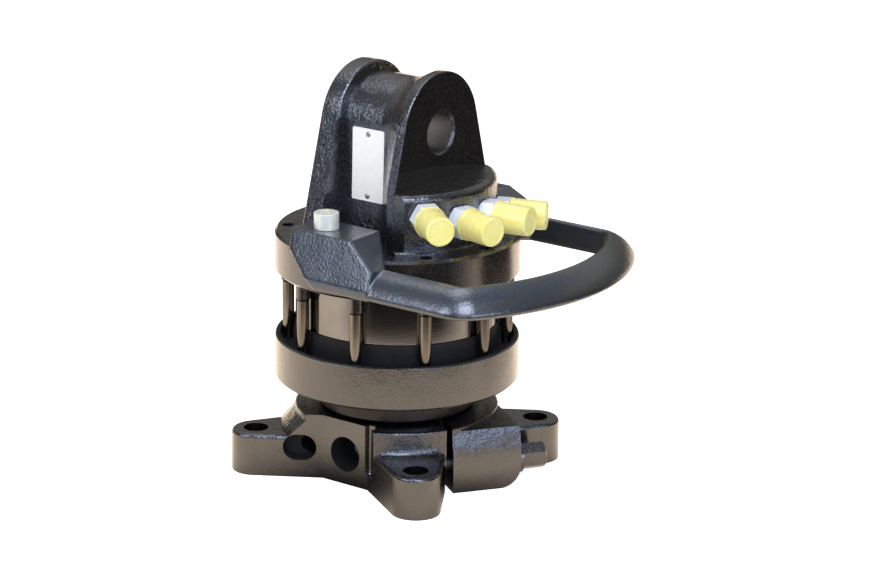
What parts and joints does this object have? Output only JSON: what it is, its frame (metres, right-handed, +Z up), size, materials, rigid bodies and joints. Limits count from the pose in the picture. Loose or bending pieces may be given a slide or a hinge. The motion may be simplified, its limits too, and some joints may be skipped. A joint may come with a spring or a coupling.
{
  "type": "hydraulic rotator",
  "caption": "Hydraulic vane rotator: a cast head with pin lug, capped hose ports and hose guard turns endlessly on a shaft clamped in a bolt-on flange.",
  "frame": {"origin": "centre of the flange's bottom face, on the swivel axis", "axes": "+Z up the swivel axis to the lug; +Y along the hanger pin, away from the hose ports; +X across the lug"},
  "size_m": [0.2572, 0.31, 0.354],
  "materials": {
    "black_paint": "gloss black paint over a casting",
    "guard_paint": "gloss black paint over a rough casting",
    "satin_steel": "turned and ground, satin",
    "ground_steel": "ground",
    "dark_steel": "oiled, machined",
    "zinc_steel": "bright zinc plate",
    "yellow_plastic": "pale translucent polyethylene",
    "white_plate": "white coated sheet",
    "rivet_steel": "satin",
    "bronze": "machined bronze",
    "seal_rubber": "matt rubber"
  },
  "bodies": {
    "flange_and_shaft": {"clamp_flange": "black_paint", "clamp_screw": "black_paint", "rotor_shaft": "ground_steel", "gallery_plugs": "dark_steel", "vane_rotor": "ground_steel", "rotor_keys": "ground_steel", "vanes": "ground_steel", "shaft_nut": "ground_steel", "bearing_race_upper": "ground_steel"},
    "head": {"head_casting": "black_paint", "hose_guard": "guard_paint", "guard_screws": "zinc_steel", "lower_housing": "black_paint", "stator_ring": "satin_steel", "housing_screws": "dark_steel", "stator_dowels": "ground_steel", "stator_seals": "seal_rubber", "shaft_bush_lower": "bronze", "shaft_bush_upper": "bronze", "shaft_seal": "seal_rubber", "swivel_seals": "seal_rubber", "bearing_race_lower": "ground_steel", "port_adapters": "zinc_steel", "adapter_seals": "seal_rubber", "port_caps": "yellow_plastic", "id_plate": "white_plate", "plate_rivets": "rivet_steel"},
    "roller_cage": {"bearing_cage": "bronze", "bearing_rollers": "ground_steel"}
  },
  "joints": [
    {"name": "swivel", "type": "hinge", "parent": "flange_and_shaft", "child": "head", "pos_m": [0, 0, 0.15], "axis": [0, 0, 1], "continuous": true},
    {"name": "cage_turn", "type": "hinge", "parent": "flange_and_shaft", "child": "roller_cage", "pos_m": [0, 0, 0.15], "axis": [0, 0, 1], "continuous": true}
  ],
  "couplings": [
    {"joint": "cage_turn", "follows": "swivel", "ratio": 0.5}
  ]
}
